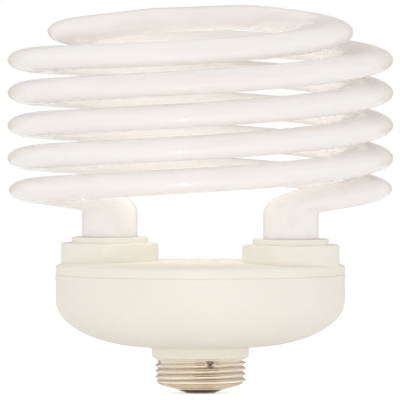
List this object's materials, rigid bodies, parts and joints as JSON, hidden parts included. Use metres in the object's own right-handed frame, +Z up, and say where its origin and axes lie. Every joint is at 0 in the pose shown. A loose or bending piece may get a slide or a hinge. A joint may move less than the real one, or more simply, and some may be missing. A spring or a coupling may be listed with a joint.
{
  "type": "spiral energy saving bulb",
  "caption": "Spiral fluorescent lamp: a double helix glass tube on two towers of a round ballast housing with a screw base.",
  "frame": {"origin": "the lamp's axis at the tip of the centre contact, the lowest point of the screw base", "axes": "+Z up along the lamp's axis, from the screw base to the top of the spiral; the tube's two legs lie to either side along X, the +X one nearer to the viewer who looks along +Y"},
  "size_m": [0.1104, 0.1104, 0.2465],
  "materials": {
    "tube_glass": "white phosphor coating inside clear glass",
    "cream_plastic": "fine satin moulding",
    "plated_brass": "nickel plated, rolled",
    "solder_brass": "tinned",
    "black_glass": "opaque black-brown glass",
    "cement": "chalky",
    "board": "resin bonded paper",
    "can_sleeve": "shrunk sleeve",
    "ferrite": "sintered",
    "enamelled_copper": "enamelled wire",
    "black_plastic": "moulded",
    "resistor_ceramic": "lacquered",
    "film_resin": "dipped resin",
    "tinned_wire": "tinned"
  },
  "bodies": {
    "root": {"discharge_tube": "tube_glass", "upper_cover": "cream_plastic", "lower_housing": "cream_plastic", "tube_holder_right": "cream_plastic", "tube_holder_left": "cream_plastic", "screw_shell": "plated_brass", "centre_contact": "solder_brass", "insulator": "black_glass", "cement_plug_right": "cement", "cement_plug_left": "cement", "circuit_board": "board", "bulk_capacitor_right": "can_sleeve", "bulk_capacitor_left": "can_sleeve", "choke_core": "ferrite", "choke_coil": "enamelled_copper", "filter_inductor": "enamelled_copper", "drive_transformer": "ferrite", "transistor_front": "black_plastic", "transistor_rear": "black_plastic", "rectifier_diodes": "black_plastic", "fuse_resistor": "resistor_ceramic", "thermistor": "resistor_ceramic", "terminal_pins": "tinned_wire", "tube_leads_right": "tinned_wire", "tube_leads_left": "tinned_wire", "live_lead": "tinned_wire", "neutral_lead": "tinned_wire", "resonant_capacitor": "film_resin", "coupling_capacitor": "film_resin", "noise_capacitor": "film_resin"}
  },
  "joints": []
}
